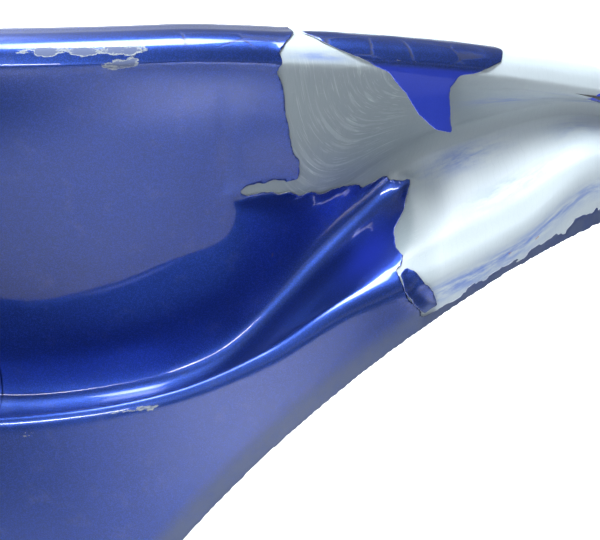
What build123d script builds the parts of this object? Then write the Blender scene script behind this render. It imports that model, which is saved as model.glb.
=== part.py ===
# Front bumper cover of a car: a painted thin-wall skin with recessed corners, its
# retainers, inlet frames, number plate carrier, lower lip, fixings and tow-eye cap.
# Millimetres, +Z up, car front towards -Y, lowest edge on Z = 0.
import os
from bisect import bisect_left
from math import cos, hypot, pi, sin

from build123d import *

os.makedirs("parts", exist_ok=True)

# ---------------------------------------------------------------- driving dimensions
HALF_WIDTH = 860.0  # centre line to the outside of a side arm
PLAN_DEPTH = 660.0  # depth over which the plan curve turns from front to side
PLAN_POWER = 2.7  # squareness of the plan curve
ARM_END = 636.0  # Y of the rear end of the side arms
WALL = 3.0  # skin thickness
GAP = 0.3  # clearance between neighbouring pieces
EYE = 1e-4  # smallest length used as zero

TOP_FLANGE = 40.0  # depth of the flange along the top edge
BOTTOM_FLANGE = 72.0  # depth of the flange along the bottom edge
ARCH_Y = 667.0  # wheel-arch centre
ARCH_Z = 118.0
ARCH_RADIUS = 424.0
ARCH_FLANGE = 20.0  # depth of the flange along the wheel arch

MOUTH_HALF_WIDTH = 390.0
MOUTH_LOW = 128.0
MOUTH_HIGH = 372.0
MOUTH_CORNER = 42.0
MOUTH_RETURN = 16.0

INLET_BELT = 690.0  # distance of the corner inlet along the belt line
INLET_Z = 536.0
INLET_WIDTH = 150.0
INLET_HEIGHT = 84.0
INLET_CORNER = 26.0

TOW_X = 470.0
TOW_Z = 300.0
TOW_SIZE = 66.0
TOW_CORNER = 16.0
TOW_GAP = 0.8

PLATE_WIDTH = 524.0
PLATE_HEIGHT = 114.0
PLATE_Z = 556.0

HOLE_RADIUS = 4.0  # clip and screw holes
NOSE_HOLES = 4
NOSE_SPACING = 150.0
NOSE_HOLE_Y = 32.0
TRAY_HOLES = 4
TRAY_SPACING = 200.0
TRAY_HOLE_Y = 54.0

# heights and depths along the belt line: (distance from the centre, value)
TOP_HEIGHT = (
    (0, 645), (600, 645), (940, 645), (1010, 640), (1060, 634), (1110, 626), (1160, 615),
    (1210, 603), (1300, 590),
)
LIP_HEIGHT = (
    (0, 448), (700, 448), (820, 451), (880, 457), (930, 466), (980, 484), (1030, 511),
    (1080, 526), (1120, 540), (1170, 565), (1210, 563), (1300, 538),
)
RECESS_DEPTH = (
    (0, 24), (430, 24), (520, 29), (600, 42), (700, 53), (980, 54), (1060, 44), (1120, 33),
    (1180, 20), (1240, 9), (1300, 8.5),
)
VALLEY_HEIGHT = (
    (0, 438), (500, 437), (620, 428), (820, 430), (900, 438), (960, 452), (1010, 500),
    (1060, 558), (1110, 577), (1160, 586), (1210, 577), (1300, 548),
)
VALLEY_SHARE = ((0, 0), (930, 0), (1060, 1), (1300, 1))


# ---------------------------------------------------------------- curves
def eased(table, at):
    """Value of a station table at a distance, with a monotone smooth blend."""
    at = min(max(at, table[0][0]), table[-1][0])
    index = max(1, bisect_left([row[0] for row in table], at))
    (a, low), (b, high) = table[index - 1], table[index]

    def slope(left, middle, right):
        first = (middle[1] - left[1]) / (middle[0] - left[0])
        second = (right[1] - middle[1]) / (right[0] - middle[0])
        return 0.0 if first * second <= 0 else 2 * first * second / (first + second)

    start = slope(table[index - 2], table[index - 1], table[index]) if index > 1 else 0.0
    end = slope(table[index - 1], table[index], table[index + 1]) if index + 1 < len(table) else 0.0
    span = b - a
    t = (at - a) / span
    return (
        (2 * t**3 - 3 * t**2 + 1) * low
        + (t**3 - 2 * t**2 + t) * span * start
        + (3 * t**2 - 2 * t**3) * high
        + (t**3 - t**2) * span * end
    )


def belt_table():
    """Plan curve as (distance, x, y) rows: a superellipse quadrant, then straight back."""
    rows = [(0.0, 0.0, 0.0)]
    points = []
    for step in range(1, 1201):
        turn = pi / 2 * step / 1200
        x = HALF_WIDTH * sin(turn) ** (2 / PLAN_POWER)
        points.append((x, PLAN_DEPTH * (1 - max(cos(turn), 0.0) ** (2 / PLAN_POWER))))
    points.append((HALF_WIDTH, PLAN_DEPTH + 200))
    for x, y in points:
        run = hypot(x - rows[-1][1], y - rows[-1][2])
        if run > EYE:
            rows.append((rows[-1][0] + run, x, y))
    return rows


BELT = belt_table()
BELT_RUN = [row[0] for row in BELT]


def belt_xy(run):
    index = min(max(1, bisect_left(BELT_RUN, run)), len(BELT) - 1)
    (a, ax, ay), (b, bx, by) = BELT[index - 1], BELT[index]
    share = (run - a) / (b - a)
    return ax + (bx - ax) * share, ay + (by - ay) * share


def belt_frame(run):
    """Point on the plan curve and its outward normal; negative runs are the left half."""
    side = -1.0 if run < 0 else 1.0
    run = abs(run)
    x, y = belt_xy(run)
    if run < 6:
        return side * x, y, 0.0, -1.0
    ax, ay = belt_xy(run - 6)
    bx, by = belt_xy(run + 6)
    size = hypot(bx - ax, by - ay)
    return side * x, y, side * (by - ay) / size, -(bx - ax) / size


def run_at(value, column):
    """Belt distance where the plan curve reaches an x (column 1) or a y (column 2)."""
    index = bisect_left([row[column] for row in BELT], value)
    return BELT[index][0]


ARM_RUN = run_at(ARM_END, 2)


def place(run, inward, z):
    x, y, nx, ny = belt_frame(run)
    return Vector(x - nx * inward, y - ny * inward, z)


# ---------------------------------------------------------------- skin section
CREST = ((TOP_FLANGE, 0), (26, 0), (18.5, 0.2), (13, 1.8), (9.4, 5.2), (7.6, 10), (7.2, 12.5))
BOWL_WALL = (0.0, 0.14, 0.3, 0.46, 0.62, 0.78, 0.91)
BOWL_FLOOR = ((1.0, 0.62), (0.97, 0.34), (0.86, 0.1), (0.66, 0.0), (0.46, 0.08), (0.3, 0.36), (0.19, 0.72))
GULLY_RAMP = ((1.0, 0.985), (0.985, 0.94), (0.92, 0.86), (0.76, 0.7), (0.56, 0.51), (0.36, 0.33), (0.18, 0.17))
FACE_STEPS = (0.0, 0.1, 0.22, 0.38, 0.55, 0.72, 0.88, 1.0)
BOTTOM_TURN = ((14.5, 18), (17.5, 8), (23, 2.2), (31, 0.25), (40, 0), (56, 0), (BOTTOM_FLANGE, 0))
# inner side of the lip: steps from the outer points, for a narrow and for a wide recess
NARROW_LIP = ((0.5, -3.0), (2.0, -5.6), (2.6, -8.8), (1.9, -11.4), (2.9, -10.8), (3.1, -9.5), (3.0, -6.5))
WIDE_LIP = ((-1.2, -2.8), (-2.1, -2.2), (-2.2, -3.0), (1.9, -9.6), (2.7, -9.6), (3.0, -9.0), (3.0, -6.5))
LIP_INDEX = 18  # first section point that those steps belong to


def face_points(lip):
    """Section below the lip, down to the inner end of the bottom flange."""
    start = lip - 12
    points = [(13 * t**1.8 - 3 * sin(pi * t), start - t * (start - 34)) for t in FACE_STEPS]
    return points + list(BOTTOM_TURN)


def bowl_points(run):
    """Section with a deep recess behind a raised lip."""
    top, lip, deep, valley = (eased(t, run) for t in (TOP_HEIGHT, LIP_HEIGHT, RECESS_DEPTH, VALLEY_HEIGHT))
    rise = lip - valley
    foot = valley + 0.7 * rise
    points = [(u, top - drop) for u, drop in CREST]
    points += [(9 + (deep - 9) * sin(t * pi / 2) ** 1.3, top - 16 - t * (top - 16 - foot)) for t in BOWL_WALL]
    points += [(u * deep, valley + z * rise) for u, z in BOWL_FLOOR]
    points += [(3.6, lip - 0.2), (1.3, lip - 1.4), (0.2, lip - 4.5)]
    return points + face_points(lip)


def gully_points(run):
    """Section with a valley above a ramp that falls to a soft edge."""
    top, lip, deep, valley = (eased(t, run) for t in (TOP_HEIGHT, LIP_HEIGHT, RECESS_DEPTH, VALLEY_HEIGHT))
    fall = valley - lip
    points = [(u, top - drop) for u, drop in CREST]
    points += [(9 + (deep - 9) * t**0.9, top - 16 - t * (top - 21 - valley)) for t in BOWL_WALL]
    points += [(u * deep, lip + z * fall) for u, z in GULLY_RAMP]
    points += [(0.09 * deep, lip + 0.8), (0.035 * deep, lip - 3.0), (0.005 * deep, lip - 7.5)]
    return points + face_points(lip)


def square_offsets(points, amount, reach):
    """Steps square to the section, towards its inside."""
    steps = []
    last = len(points) - 1
    for index in range(len(points)):
        (au, az), (bu, bz) = points[max(index - reach, 0)], points[min(index + reach, last)]
        size = hypot(bu - au, bz - az)
        steps.append(((az - bz) / size * amount, (bu - au) / size * amount))
    return steps


def section(run, depth=WALL):
    """Outer points and inner points of the skin at a belt distance."""
    share = eased(VALLEY_SHARE, run)
    bowl, gully = bowl_points(run), gully_points(run)
    wide = min(max((eased(RECESS_DEPTH, run) - 24) / 30, 0.0), 1.0)
    bowl_steps = square_offsets(bowl, depth, 1)
    for index, (narrow, broad) in enumerate(zip(NARROW_LIP, WIDE_LIP)):
        step = tuple(a + (b - a) * wide for a, b in zip(narrow, broad))
        bowl_steps[LIP_INDEX + index] = step
    gully_steps = square_offsets(gully, depth, 2)
    outer, inner = [], []
    for a, b, da, db in zip(bowl, gully, bowl_steps, gully_steps):
        u, z, du, dz = (p + (q - p) * share for p, q in zip(a + da, b + db))
        outer.append((u, z))
        inner.append((u + du, z + dz))
    return outer, inner


def half_stations():
    return [0, 150, 300, 430, 500, 560, 620, 690, 760, 820, 870, 915, 955, 990, 1025, 1060, 1095, 1130,
            1165, 1205, ARM_RUN]


def full_stations():
    right = half_stations()
    return [-run for run in reversed(right[1:])] + right


def spline_shares(sections):
    """Common curve parameters, from the chord lengths averaged over all sections."""
    steps = [0.0] * (len(sections[0]) - 1)
    for points in sections:
        for index in range(len(steps)):
            (au, az), (bu, bz) = points[index], points[index + 1]
            steps[index] += hypot(bu - au, bz - az) ** 0.8
    shares = [0.0]
    for step in steps:
        shares.append(shares[-1] + step)
    return [share / shares[-1] for share in shares]


def belt_loft(stations, pairs, shares):
    """Closed strips (outer points, inner points) at belt stations, lofted smoothly."""
    back_shares = [1 - share for share in reversed(shares)]
    wires = []
    for run, (outer, inner) in zip(stations, pairs):
        front = [place(run, u, z) for u, z in outer]
        back = [place(run, u, z) for u, z in reversed(inner)]
        wires.append(Wire([
            Edge.make_spline(front, parameters=shares),
            Edge.make_line(front[-1], back[0]),
            Edge.make_spline(back, parameters=back_shares),
            Edge.make_line(back[-1], front[0]),
        ]))
    return Solid.make_loft(wires)


def skin_solid():
    stations = full_stations()
    pairs = [section(abs(run)) for run in stations]
    return belt_loft(stations, pairs, spline_shares([outer for outer, inner in pairs]))


def span_stations(start, end, count):
    return [start + (end - start) * index / (count - 1) for index in range(count)]


def face_slab(start, end, shallow, deep, count=9):
    """Layer behind the lower face, between two depths."""
    stations = span_stations(start, end, count)
    pairs = []
    for run in stations:
        lip = eased(LIP_HEIGHT, abs(run))
        points = [(0.4, lip - 4)] + face_points(lip)[: len(FACE_STEPS)]
        pairs.append(([(u + shallow, z) for u, z in points], [(u + deep, z) for u, z in points]))
    return belt_loft(stations, pairs, spline_shares([outer for outer, inner in pairs]))


def wall_slab(start, end, shallow, deep, count=7):
    """Layer along the recess wall, between two depths measured square to the plan curve."""
    stations = span_stations(start, end, count)
    pairs = []
    for run in stations:
        points = bowl_points(abs(run))[len(CREST) : len(CREST) + len(BOWL_WALL)]
        pairs.append(([(u + shallow, z) for u, z in points], [(u + deep, z) for u, z in points]))
    return belt_loft(stations, pairs, spline_shares([outer for outer, inner in pairs]))


def belt_strip(start, end, corners, count):
    """Strip of constant section along the belt; corners(run) gives its (inward, z) outline."""
    wires = []
    for run in span_stations(start, end, count):
        wires.append(Wire.make_polygon([place(run, u, z) for u, z in corners(abs(run))], close=True))
    return Solid.make_loft(wires)


# ---------------------------------------------------------------- small helpers
def only_solid(shape):
    """Largest solid of a boolean result."""
    return max(shape.solids(), key=lambda solid: solid.volume)


def block(width, height, corner, plane, near, far):
    """Round-cornered block in a plane, from one distance along its normal to another."""
    outline = RectangleRounded(width, height, corner)
    base = plane.offset(near)
    return extrude(base * outline, amount=far - near)


def tube(width, height, corner, wall, plane, near, far):
    """Round-cornered ring of a wall thickness measured inwards from its outline."""
    outer = block(width, height, corner, plane, near, far)
    return outer - block(width - 2 * wall, height - 2 * wall, max(corner - wall, 1.0), plane, near - 1, far + 1)


def rod(centre, direction, radius, near, far):
    axis = Vector(*direction).normalized()
    start = Vector(*centre) + axis * near
    return Solid.make_cylinder(radius, far - near, Plane(start, z_dir=axis))


def belt_plane(run, inward, z):
    """Plane across the outward normal at a belt point: x along the belt, y up."""
    point = place(run, inward, z)
    normal = belt_frame(run)
    return Plane(point, x_dir=(-normal[3], normal[2], 0), z_dir=(normal[2], normal[3], 0))


def mirrored(shape):
    return mirror(shape, about=Plane.YZ)


def arch_cylinder(radius):
    return Solid.make_cylinder(radius, 2200, Plane((-1100, ARCH_Y, ARCH_Z), z_dir=(1, 0, 0)))


MOUTH_PLANE = Plane((0, 0, (MOUTH_LOW + MOUTH_HIGH) / 2), x_dir=(1, 0, 0), z_dir=(0, -1, 0))
MOUTH_WIDTH = 2 * MOUTH_HALF_WIDTH
MOUTH_HEIGHT = MOUTH_HIGH - MOUTH_LOW
INLET_PLANE = belt_plane(INLET_BELT, 36, INLET_Z)
TOW_RUN = run_at(TOW_X, 1)
TOW_PLANE = belt_plane(TOW_RUN, 0, TOW_Z)


def flange_point(run, inward=28.5):
    """Point on top of the top flange."""
    return place(run, inward, eased(TOP_HEIGHT, abs(run)))


# ---------------------------------------------------------------- positions of fixings
NOSE_CLIP_RUNS = (-300, -150, 0, 150, 300)
LAMP_CLIP_RUNS = (520, 605, 690, 775)
WING_SCREW_RUNS = (1199, 1225)
RIVET_RUNS = (110, 330, 550, 700, 800)
ARCH_CLIP_TURNS = (26, 50, 74)
ARCH_CLIP_DEPTH = 13.0  # behind the outer face
ARCH_CLIP_GAP = 0.6  # clip heads off the arch flange
ARCH_HOLE_RADIUS = 3.5
WING_SEAT = 2.0  # wing retainer below the flange
WING_SLACK = 1.2  # extra hole radius for screws that lean with the sloping flange
SCREW_LIFT = 0.6  # wing screw heads above the flange
SMALL_HOLE_RADIUS = 2.8  # rivets and plate screws
PLATE_SCREWS = ((-196, -34), (196, -34), (-196, 34), (196, 34))
PLATE_HOLE_SPACING = 300.0
PLATE_HOLE_RADIUS = 3.0
NOSE_HOLE_X = [(index - (NOSE_HOLES - 1) / 2) * NOSE_SPACING for index in range(NOSE_HOLES)]
TRAY_HOLE_X = [(index - (TRAY_HOLES - 1) / 2) * TRAY_SPACING for index in range(TRAY_HOLES)]


def both_sides(runs):
    return [-run for run in runs] + list(runs)


def upright_holes(points, radius):
    return [Solid.make_cylinder(radius, 28, Plane((x, y, z - 18))) for x, y, z in points]


def flange_fixing_points(runs):
    return [tuple(flange_point(run)) for run in runs]


def nose_hole_points():
    return [(x, NOSE_HOLE_Y, eased(TOP_HEIGHT, 0)) for x in NOSE_HOLE_X]


def arch_point(side, turn, radius, inward):
    """Point on the wheel-arch circle at a depth behind the outer face."""
    angle = turn * pi / 180
    y, z = ARCH_Y - radius * sin(angle), ARCH_Z + radius * cos(angle)
    run = run_at(y, 2)
    for _ in range(6):
        run += y - place(run, inward, z).Y
    return Vector(side * place(run, inward, z).X, y, z)


def arch_direction(turn):
    angle = turn * pi / 180
    return (0, -sin(angle), cos(angle))


# ---------------------------------------------------------------- the painted skin
def bumper_cover():
    skin = skin_solid() - arch_cylinder(ARCH_RADIUS)
    for start, end in ((820, ARM_RUN), (-ARM_RUN, -820)):
        ring = arch_cylinder(ARCH_RADIUS + WALL) - arch_cylinder(ARCH_RADIUS)
        skin = skin + (ring & face_slab(start, end, 0.6, ARCH_FLANGE, 13))
    mouth_return = tube(MOUTH_WIDTH + 2 * WALL, MOUTH_HEIGHT + 2 * WALL, MOUTH_CORNER + WALL, WALL,
                        MOUTH_PLANE, -80, 20)
    skin = skin + (mouth_return & face_slab(-480, 480, 0.6, MOUTH_RETURN, 13))
    cuts = [block(MOUTH_WIDTH, MOUTH_HEIGHT, MOUTH_CORNER, MOUTH_PLANE, -120, 40)]
    inlet = block(INLET_WIDTH, INLET_HEIGHT, INLET_CORNER, INLET_PLANE, -60, 60)
    cuts += [inlet, mirrored(inlet)]
    cuts.append(block(TOW_SIZE + 2 * TOW_GAP, TOW_SIZE + 2 * TOW_GAP, TOW_CORNER + TOW_GAP, TOW_PLANE, -20, 20))
    cuts += upright_holes(nose_hole_points(), HOLE_RADIUS)
    cuts += upright_holes([(x, TRAY_HOLE_Y, WALL) for x in TRAY_HOLE_X], HOLE_RADIUS)
    cuts += upright_holes(
        flange_fixing_points(NOSE_CLIP_RUNS + tuple(both_sides(LAMP_CLIP_RUNS + WING_SCREW_RUNS))),
        HOLE_RADIUS,
    )
    for side in (-1, 1):
        for turn in ARCH_CLIP_TURNS:
            seat = arch_point(side, turn, ARCH_RADIUS, ARCH_CLIP_DEPTH)
            cuts.append(rod(seat, arch_direction(turn), ARCH_HOLE_RADIUS, -10, 12))
    for x, dz in PLATE_SCREWS:
        cuts.append(rod((x, 0, PLATE_Z + dz), (0, 1, 0), SMALL_HOLE_RADIUS, -10, 60))
    for run in both_sides(RIVET_RUNS):
        plane = belt_plane(run, 0, 30)
        cuts.append(rod(plane.origin, plane.z_dir, SMALL_HOLE_RADIUS, -30, 10))
    for cut in cuts:
        skin = skin - cut
    return only_solid(skin)


# ---------------------------------------------------------------- retainers
def retainer_outline(run, drop, seat):
    """Angle strip hung a small distance, seat, below the flange."""
    top = eased(TOP_HEIGHT, run) - WALL - seat
    return [(20.5, top), (TOP_FLANGE, top), (TOP_FLANGE, top - drop), (TOP_FLANGE - 3, top - drop),
            (TOP_FLANGE - 3, top - 3), (20.5, top - 3)]


def nose_retainer():
    strip = belt_strip(-470, 470, lambda run: retainer_outline(run, 14, 2 * GAP), 13)
    for hole in upright_holes(nose_hole_points() + flange_fixing_points(NOSE_CLIP_RUNS), HOLE_RADIUS):
        strip = strip - hole
    return only_solid(strip)


def lamp_support():
    strip = belt_strip(490, 962, lambda run: retainer_outline(run, 20, 2 * GAP), 15)
    for hole in upright_holes(flange_fixing_points(LAMP_CLIP_RUNS), HOLE_RADIUS):
        strip = strip - hole
    for run in (595, 695, 795, 890):
        top = eased(TOP_HEIGHT, run)
        notch = block(46, 9, 3, belt_plane(run, TOP_FLANGE, top - 15), -8, 8)
        strip = strip - notch
    return only_solid(strip)


def wing_retainer():
    strip = belt_strip(972, ARM_RUN - 4, lambda run: retainer_outline(run, 9, WING_SEAT), 13)
    for hole in upright_holes(flange_fixing_points(WING_SCREW_RUNS), HOLE_RADIUS + WING_SLACK):
        strip = strip - hole
    return only_solid(strip)


# ---------------------------------------------------------------- lower air intake
FRAME_WALL = 8.0


def mouth_frame():
    ring = tube(MOUTH_WIDTH - 2 * GAP, MOUTH_HEIGHT - 2 * GAP, MOUTH_CORNER - GAP, FRAME_WALL,
                MOUTH_PLANE, -120, 40)
    return only_solid(ring & face_slab(-480, 480, 5, 46, 13))


def mouth_slats():
    inset = FRAME_WALL + 2 * GAP
    window = block(MOUTH_WIDTH - 2 * inset, MOUTH_HEIGHT - 2 * inset, MOUTH_CORNER - inset, MOUTH_PLANE,
                   -120, 40)
    pitch = MOUTH_HEIGHT / 7
    bars = [Pos(0, 60, MOUTH_LOW + pitch * (index + 1)) * Box(MOUTH_WIDTH, 200, 4) for index in range(6)]
    layer = face_slab(-480, 480, 12, 38, 13)
    slats = window & layer
    grid = bars[0]
    for bar in bars[1:]:
        grid = grid + bar
    for index in range(9):
        x = (index - 4) * MOUTH_WIDTH / 10
        grid = grid + Pos(x, 60, (MOUTH_LOW + MOUTH_HIGH) / 2) * Box(4, 200, MOUTH_HEIGHT)
    return only_solid(slats & grid)


# ---------------------------------------------------------------- corner inlets
BEZEL_RIM = 9.0
BEZEL_WALL = 3.0


def duct_bezel():
    rim = tube(INLET_WIDTH + 2 * BEZEL_RIM, INLET_HEIGHT + 2 * BEZEL_RIM, INLET_CORNER + BEZEL_RIM,
               BEZEL_RIM + GAP + BEZEL_WALL, INLET_PLANE, -60, 60)
    sleeve = tube(INLET_WIDTH - 2 * GAP, INLET_HEIGHT - 2 * GAP, INLET_CORNER - GAP, BEZEL_WALL,
                  INLET_PLANE, -80, 60)
    front = rim & wall_slab(INLET_BELT - 110, INLET_BELT + 110, -3.4, -0.9)
    back = sleeve & wall_slab(INLET_BELT - 110, INLET_BELT + 110, -3.4, 44)
    return only_solid(front + back)


def duct_mesh():
    inset = BEZEL_WALL + 2 * GAP
    width, height = INLET_WIDTH - 2 * inset, INLET_HEIGHT - 2 * inset
    panel = block(width, height, INLET_CORNER - inset, INLET_PLANE, -80, 60)
    panel = panel & wall_slab(INLET_BELT - 110, INLET_BELT + 110, 22, 26)
    columns, rows = 9, 5
    cell_x, cell_y = width / columns, height / rows
    for column in range(columns):
        for row in range(rows):
            x = (column - (columns - 1) / 2) * cell_x
            y = (row - (rows - 1) / 2) * cell_y
            if abs(x) > width / 2 - cell_x and abs(y) > height / 2 - cell_y:
                continue
            centre = INLET_PLANE.origin + INLET_PLANE.x_dir * x + INLET_PLANE.y_dir * y
            cell = Plane(centre, x_dir=INLET_PLANE.x_dir, z_dir=INLET_PLANE.z_dir)
            panel = panel - block(cell_x - 2.6, cell_y - 2.6, 2.5, cell, -80, 60)
    return only_solid(panel)


# ---------------------------------------------------------------- tow-eye cap
SKIRT_INSET = 7.0
TOW_SPAN = 70.0


def tow_slab(shallow, deep):
    return face_slab(TOW_RUN - TOW_SPAN, TOW_RUN + TOW_SPAN, shallow, deep, 5)


def tow_eye_cover():
    plate = block(TOW_SIZE, TOW_SIZE, TOW_CORNER, TOW_PLANE, -40, 20) & tow_slab(0, 2.6)
    skirt_size = TOW_SIZE - 2 * SKIRT_INSET
    skirt = tube(skirt_size, skirt_size, TOW_CORNER - SKIRT_INSET, 2, TOW_PLANE, -60, 20) & tow_slab(2, 20)
    return only_solid(plate + skirt)


def tow_eye_sleeve():
    guide_size = TOW_SIZE - 2 * SKIRT_INSET + 2 * (0.5 + 2.5)
    guide_corner = TOW_CORNER - SKIRT_INSET + 3
    guide = tube(guide_size, guide_size, guide_corner, 2.5, TOW_PLANE, -60, 20) & tow_slab(3.6, 26)
    collar_size = TOW_SIZE + 26
    collar = tube(collar_size, collar_size, TOW_CORNER + 13, (collar_size - guide_size) / 2 + 2.5,
                  TOW_PLANE, -60, 20) & tow_slab(3.6, 6)
    return only_solid(guide + collar)


# ---------------------------------------------------------------- number plate carrier
def plate_holder():
    carrier = Pos(0, 21, PLATE_Z) * Box(PLATE_WIDTH, 40, PLATE_HEIGHT)
    cell = (PLATE_WIDTH - 6) / 8
    for index in range(8):
        x = (index - 3.5) * cell
        carrier = carrier - Pos(x, 24.5, PLATE_Z) * Box(cell - 2.4, 41, PLATE_HEIGHT - 6)
    for x, dz in PLATE_SCREWS:
        carrier = carrier + rod((x, 0, PLATE_Z + dz), (0, 1, 0), 6, 3, 40)
        carrier = carrier - rod((x, 0, PLATE_Z + dz), (0, 1, 0), SMALL_HOLE_RADIUS, -10, 60)
    for x in (-PLATE_HOLE_SPACING / 2, PLATE_HOLE_SPACING / 2):
        carrier = carrier - rod((x, 0, PLATE_Z), (0, 1, 0), PLATE_HOLE_RADIUS, -10, 60)
    body = wall_slab(-340, 340, -0.9, 80, 9)
    carrier = carrier - body
    return only_solid(carrier)


# ---------------------------------------------------------------- lower lip
def lower_lip():
    end = run_at(222, 2)
    outline = [(11.5, 46), (7.5, 44), (3.5, 16), (-3, 5), (-3, 0), (16, 0), (15.8, 6.5), (13.5, 18), (12.2, 34)]
    strip = belt_strip(-end, end, lambda run: outline, 33)
    for run in both_sides(RIVET_RUNS):
        plane = belt_plane(run, 0, 30)
        strip = strip - rod(plane.origin, plane.z_dir, SMALL_HOLE_RADIUS, -30, 10)
    return only_solid(strip)


# ---------------------------------------------------------------- fixings
def clip(point):
    """Push-in clip: domed head on the flange and a slotted shank below it."""
    x, y, z = point
    head = Solid.make_cone(9, 6.5, 2.2, Plane((x, y, z + GAP)))
    shank = Solid.make_cylinder(3.6, 16, Plane((x, y, z + GAP - 15.5)))
    tip = Solid.make_cone(2.0, 3.6, 4, Plane((x, y, z + GAP - 19.5)))
    body = head + shank + tip
    body = body - Pos(x, y, z + GAP + 2.2) * Box(7, 1.4, 1.6)
    return only_solid(body - Pos(x, y, z - 14) * Box(1.2, 10, 12))


def screw(point, direction, length, radius, head):
    """Pan-head screw with a cross recess; direction points out of the head."""
    shank = rod(point, direction, radius, -length, 0.5)
    cap = rod(point, direction, head, GAP, GAP + 2.6)
    body = shank + cap
    axis = Vector(*direction).normalized()
    seat = Plane(Vector(*point) + axis * (GAP + 2.6), z_dir=axis)
    for turn in (0, 90):
        body = body - seat * Rot(0, 0, turn) * Box(head * 1.1, 1.1, 2.0)
    return only_solid(body)


def nose_clips():
    return Compound([clip(point) for point in flange_fixing_points(NOSE_CLIP_RUNS)])


def lamp_clips():
    return Compound([clip(point) for point in flange_fixing_points(both_sides(LAMP_CLIP_RUNS))])


def wing_screws():
    screws = []
    for run in both_sides(WING_SCREW_RUNS):
        rise = (flange_point(abs(run) + 5) - flange_point(abs(run) - 5)).normalized()
        if run < 0:
            rise = Vector(-rise.X, rise.Y, rise.Z)
        upright = Vector(0, 0, 1)
        across = (upright - rise * rise.Z).normalized()
        screws.append(screw(flange_point(run) + across * SCREW_LIFT, across, 14, 2.4, 6))
    return Compound(screws)


def plate_screws():
    return Compound([
        screw((x, 1, PLATE_Z + dz), (0, -1, 0), 42, 2.4, 5) for x, dz in PLATE_SCREWS
    ])


def lip_rivets():
    rivets = []
    for run in both_sides(RIVET_RUNS):
        seat = belt_plane(run, 4.6, 30)
        shank = rod(seat.origin, seat.z_dir, 2.4, -18, 2)
        head = rod(seat.origin, seat.z_dir, 5.5, GAP + 1.1, GAP + 2.9)
        rivets.append(only_solid(shank + head))
    return Compound(rivets)


def arch_clip(side, turn):
    """Push-in clip through the wheel-arch flange, with its head on the wheel side."""
    seat = arch_point(side, turn, ARCH_RADIUS, ARCH_CLIP_DEPTH)
    direction = arch_direction(turn)
    head = rod(seat, direction, 7.5, -3.0, -ARCH_CLIP_GAP)
    shank = rod(seat, direction, 2.8, -1.0, WALL + 6)
    axis = Vector(*direction)
    barb = Solid.make_cone(4.4, 2.0, 7.2, Plane(seat + axis * (WALL + ARCH_CLIP_GAP + 0.3), z_dir=axis))
    return only_solid(head + shank + barb)


def arch_liner_clips():
    return Compound([arch_clip(side, turn) for side in (-1, 1) for turn in ARCH_CLIP_TURNS])


# ---------------------------------------------------------------- export
PIECES = {
    "bumper_cover": bumper_cover,
    "nose_retainer": nose_retainer,
    "mouth_frame": mouth_frame,
    "mouth_slats": mouth_slats,
    "tow_eye_cover": tow_eye_cover,
    "tow_eye_sleeve": tow_eye_sleeve,
    "plate_holder": plate_holder,
    "plate_screws": plate_screws,
    "lower_lip": lower_lip,
    "lip_rivets": lip_rivets,
    "nose_clips": nose_clips,
    "lamp_clips": lamp_clips,
    "wing_screws": wing_screws,
    "arch_liner_clips": arch_liner_clips,
}
PAIRS = {
    "lamp_support": lamp_support,
    "wing_retainer": wing_retainer,
    "duct_bezel": duct_bezel,
    "duct_mesh": duct_mesh,
}

shapes = {node: make() for node, make in PIECES.items()}
for name, make in PAIRS.items():
    piece = make()
    shapes[f"left_{name}"] = piece
    shapes[f"right_{name}"] = mirrored(piece)

boxes = [shape.bounding_box() for shape in shapes.values()]
front = min(box.min.Y for box in boxes)
rear = max(box.max.Y for box in boxes)
base = min(box.min.Z for box in boxes)
for node, shape in shapes.items():
    export_step(Pos(0, -(front + rear) / 2, -base) * shape, f"parts/{node}.step")
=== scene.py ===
"""Front bumper cover with its front left corner damaged: blue paint torn off grey plastic."""
from bisect import bisect_left
from math import cos, pi, radians, sin

import bmesh
import bpy
import numpy as np
from mathutils import Matrix, Vector
from mathutils.bvhtree import BVHTree


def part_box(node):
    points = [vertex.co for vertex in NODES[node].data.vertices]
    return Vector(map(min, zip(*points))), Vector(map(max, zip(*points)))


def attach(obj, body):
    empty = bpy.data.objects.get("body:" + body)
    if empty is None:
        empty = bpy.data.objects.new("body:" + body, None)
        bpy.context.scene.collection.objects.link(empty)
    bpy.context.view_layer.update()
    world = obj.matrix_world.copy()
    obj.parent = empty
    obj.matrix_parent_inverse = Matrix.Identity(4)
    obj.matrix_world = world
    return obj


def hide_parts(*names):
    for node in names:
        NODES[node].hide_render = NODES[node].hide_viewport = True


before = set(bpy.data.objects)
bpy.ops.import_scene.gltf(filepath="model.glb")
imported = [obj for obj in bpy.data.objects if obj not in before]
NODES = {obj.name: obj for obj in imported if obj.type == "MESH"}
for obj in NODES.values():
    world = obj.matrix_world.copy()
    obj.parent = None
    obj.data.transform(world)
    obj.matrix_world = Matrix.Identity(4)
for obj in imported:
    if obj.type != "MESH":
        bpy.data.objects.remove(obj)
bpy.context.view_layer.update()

# ------------------------------------------------------------------ the skin's own curves, in mm
HALF_WIDTH, PLAN_DEPTH, PLAN_POWER, ARM_END = 860.0, 660.0, 2.7, 636.0
TOP_FLANGE, BOTTOM_FLANGE, WALL = 40.0, 72.0, 3.0
ARCH_Y, ARCH_Z, ARCH_RADIUS, ARCH_FLANGE = 667.0, 118.0, 424.0, 20.0
TOP_HEIGHT = ((0, 645), (600, 645), (940, 645), (1010, 640), (1060, 634), (1110, 626), (1160, 615),
              (1210, 603), (1300, 590))
LIP_HEIGHT = ((0, 448), (700, 448), (820, 451), (880, 457), (930, 466), (980, 484), (1030, 511),
              (1080, 526), (1120, 540), (1170, 565), (1210, 563), (1300, 538))
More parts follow.
